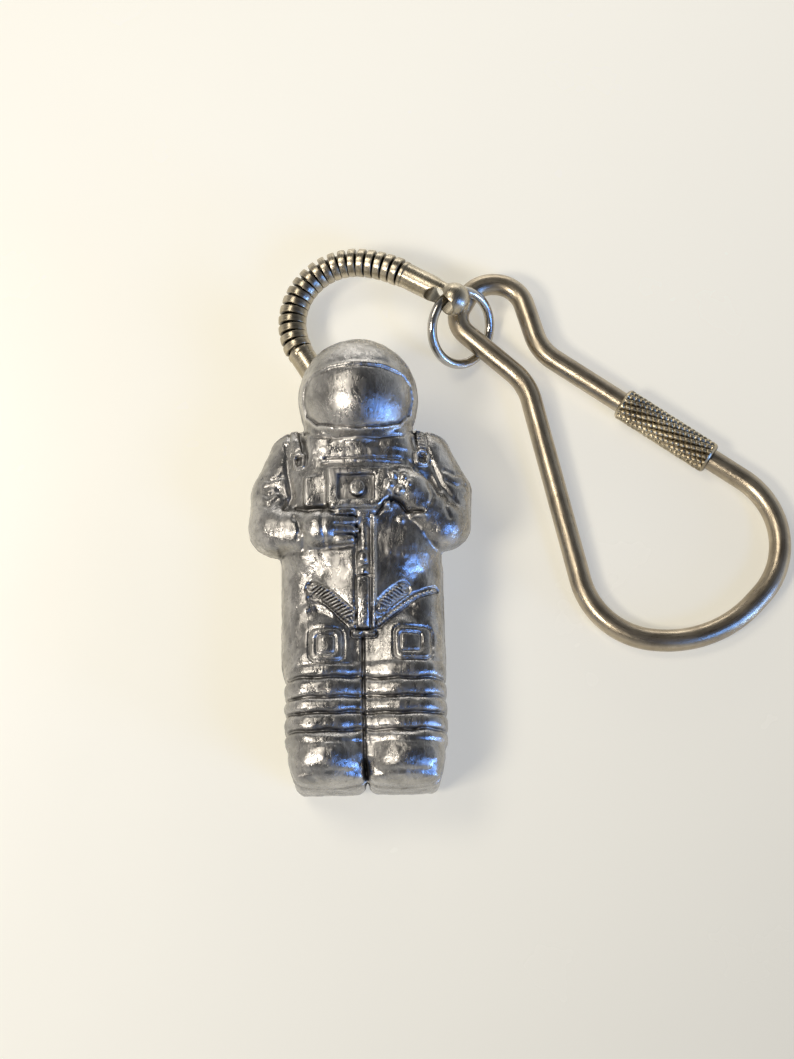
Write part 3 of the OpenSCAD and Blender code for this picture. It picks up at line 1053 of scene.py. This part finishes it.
def make_chain(nickel, centres, chain_up):
    """Each link's band lies half way between its own joint and the next."""
    profile = link_profile()
    for i in range(1, LINK_COUNT + 1):
        here, after = centres[i - 1], centres[i]
        place = basis((after + here) / 2, after - here, chain_up)
        made = lathe(f"snake_link_{i:02d}", profile, place)
        finish_piece(made, f"link_{i:02d}", "nickel_hardware", nickel, f"link_{i:02d}", sharp=50)


def cap_shape():
    """An end cap's outside: a barrel with a rim at one end and a ball at the other."""
    eye_r, eye_shift = 1.7, 0.35
    shape = Shape((-0.9, -2, -2), (8.3, 2, 2), 0.05)
    shape.join(rod((0, 0, 0), (CAP_REACH, 0, 0), CAP_R, 0.08), 0.01)
    shape.join(rod((0, 0, 0), (0.42, 0, 0), CAP_R + 0.06, 0.06), 0.05)
    shape.join(ball((CAP_REACH + eye_shift, 0, 0), eye_r), 0.12)
    return shape


def make_lower_cap(nickel, centres, chain_up):
    """The cap on the statuette's end, with a neck that sits in the first link and a hole for the staple."""
    hole_r = 0.46
    eye = joint_place("cap_swing")[0]
    along = centres[0] - eye
    shape = cap_shape()
    shape.cut(rod((CAP_REACH, 0, -3), (CAP_REACH, 0, 3), hole_r, 0.0), 0.12)
    shape.join(rod((-JOINT_GAP - 0.3, 0, 0), (0.5, 0, 0), NECK_R, 0.05), 0.02)
    shape.cut(rod((-1.0, 0, 0), (0.5, 0, 0), NECK_BORE_R, 0.05), 0.02)
    place = basis(eye + along.normalized() * CAP_REACH, -along, chain_up)
    made = shape.mesh("lower_cap_turned", place)
    finish_piece(made, "lower_cap", "nickel_hardware", nickel, "lower_cap")


def make_upper_cap(nickel, centres, chain_up):
    """The cap on the key ring's end, with a socket for the last link and a cross slot for the jump ring.
    It is turned from the last link as far as that link is from the one before."""
    before = (centres[-2] - centres[-3]).normalized()
    last = (centres[-1] - centres[-2]).normalized()
    along = before.rotation_difference(last) @ last
    roll, slot_r, slot, slot_cuts = math.radians(65), 1.1, 1.4, 6
    across = Vector((0, -math.sin(roll), math.cos(roll)))
    shape = cap_shape()
    for i in range(slot_cuts):
        x = CAP_REACH - slot * i / (slot_cuts - 1)
        shape.cut(rod((x, *(-3 * across.yz)), (x, *(3 * across.yz)), slot_r, 0.0), 0.1)
    shape.cut(rod((-1, 0, 0), (1.2, 0, 0), SOCKET_R, 0.05), 0.03)
    place = basis(centres[-1] + along * JOINT_GAP, along, chain_up)
    made = shape.mesh("upper_cap_turned", place)
    finish_piece(made, "upper_cap", "nickel_hardware", nickel, "upper_cap")


def make_jump_ring(polished):
    centre, normal = joint_place("key_ring_turn")
    turns = [2 * math.pi * k / 120 for k in range(120)]
    circle = [(JUMP_R * math.cos(t), JUMP_R * math.sin(t), 0) for t in turns]
    flat = basis(centre, normal.cross(Vector((0, 0, 1))), normal)
    made = tube("jump_ring_wire", circle, JUMP_WIRE / 2, 28, True, flat)
    finish_piece(made, "jump_ring", "steel_wire", polished, "jump_ring")


def key_plane():
    """The key ring's own plane: it rests on its far end and rises towards its neck."""
    rise, heading = math.radians(1.76), math.radians(107.2)
    rest = Vector((33, -12, KEY_WIRE / 2))
    turn = Matrix.Rotation(rise, 4, Vector((math.sin(heading), -math.cos(heading), 0)))
    return Matrix.Translation(rest) @ turn @ Matrix.Translation(Vector((-rest.x, -rest.y, 0)))


def make_key_ring(wire):
    """The wire goes round from the sleeve by the neck and the far end, back into the sleeve."""
    near_end, far_end = 0.1, 2.4
    start = SLEEVE_AT - SLEEVE_DIRECTION * near_end
    end = SLEEVE_AT + SLEEVE_DIRECTION * far_end
    route = [
        (*start, 0), (18.6, 18.7, 5), (16.4, 26.05, 3.2), (12, 26.05, 3.2), (9.6, 21.8, 2.4),
        (17.2, 15.1, 6), (23.5, -11.3, 8), (35.3, -12.4, 12), (46.5, -0.4, 8), (*end, 0),
    ]
    made = tube("key_ring_wire", bent_path(route, 0.3), KEY_WIRE / 2, 40, False, key_plane())
    finish_piece(made, "key_ring", "steel_wire", wire, "key_ring", sharp=60)


def knurl(x, turn, r):
    """Knurling: grooves at a slight slant to the axis, crossed by steeper ones that are cut less deep."""
    plain_from, outside_from, depth = 5.0, 1.5, 0.3
    slight = np.abs(((14 * turn / (2 * math.pi) + 0.54 * x) % 1) - 0.5) * 2
    steep = np.abs(((10 * turn / (2 * math.pi) - 1.54 * x) % 1) - 0.5) * 2
    left_proud = np.minimum(1, 1.5 * slight) * np.minimum(1, 0.5 + 1.2 * steep)
    knurled = (r > outside_from) * step_down(np.abs(x), plain_from, 0.08)
    return knurled * (-depth * (1 - left_proud))


def make_sleeve(turned_steel):
    half, bore, outer, rim = 5.35, 1.18, 1.65, 0.3
    steps, sides = ((210, 200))
    knurled = [(x, outer) for x in np.linspace(-half + rim, half - rim, steps)]
    profile = [(-half, bore), (-half, outer - rim), (-half + 0.1, outer - 0.12), *knurled,
               (half - 0.1, outer - 0.12), (half, outer - rim), (half, bore)]
    turn = Matrix.Rotation(SLEEVE_HEADING, 4, "Z")
    place = key_plane() @ Matrix.Translation(Vector((*SLEEVE_AT, 0))) @ turn
    made = lathe("knurled_sleeve_turned", profile, place, sides, knurl, 0.36)
    finish_piece(made, "sleeve", "nickel_hardware", turned_steel, "knurled_sleeve", sharp=45)


def make_staple(wire, chain_up):
    """A wire that comes down from the helmet, through the lower cap's eye, and turns into the pack."""
    wire_r, bend_r = 0.4, 0.8
    top_z, eye_z, foot_z, foot_length = 7.6, 2.9, 0.58, 5.6
    eye = joint_place("cap_swing")[0]
    along = (joint_place("bend_01")[0] - eye).normalized()
    route = [(0, top_z - eye_z, 0), (0, foot_z - eye_z, bend_r), (foot_length, foot_z - eye_z, 0)]
    place = basis(eye, -along, -along.cross(chain_up))
    made = tube("eye_staple_wire", bent_path(route, 0.15), wire_r, 24, False, place)
    finish_piece(made, "statuette", "steel_wire", wire, "eye_staple", sharp=60)


def make_hardware():
    """Everything that isn't cast. Each metal has its light and dark colour, roughness and grain."""
    nickel = plated_material(
        "worn_nickel", (0.55, 0.485, 0.37, 1), (0.36, 0.315, 0.235, 1), 0.22, (9, 0.6, 0.6))
    wire = plated_material(
        "drawn_wire", (0.50, 0.43, 0.32, 1), (0.34, 0.285, 0.21, 1), 0.25, (0.5, 7, 7))
    turned_steel = plated_material(
        "knurled_steel", (0.62, 0.54, 0.38, 1), (0.34, 0.285, 0.195, 1), 0.26, (3, 1, 1))
    polished = plated_material(
        "polished_wire", (0.60, 0.575, 0.53, 1), (0.46, 0.44, 0.40, 1), 0.1, (0.5, 7, 7))
    chain_up = -joint_place("bend_01")[1]
    centres = [joint_place(f"bend_{i:02d}")[0] for i in range(1, LINK_COUNT + 2)]
    make_chain(nickel, centres, chain_up)
    make_lower_cap(nickel, centres, chain_up)
    make_upper_cap(nickel, centres, chain_up)
    make_jump_ring(polished)
    make_key_ring(wire)
    make_sleeve(turned_steel)
    make_staple(wire, chain_up)


make_camera()
make_stage()

figure_place = Matrix.Translation(Vector((0.3, 0, 0))) @ Matrix.Rotation(math.radians(1.2), 4, "Z")
statuette = make_statuette().mesh("cast_statuette", figure_place, 195000)
finish_piece(statuette, "statuette", "pewter_casting", pewter_material(), "astronaut")
make_hardware()
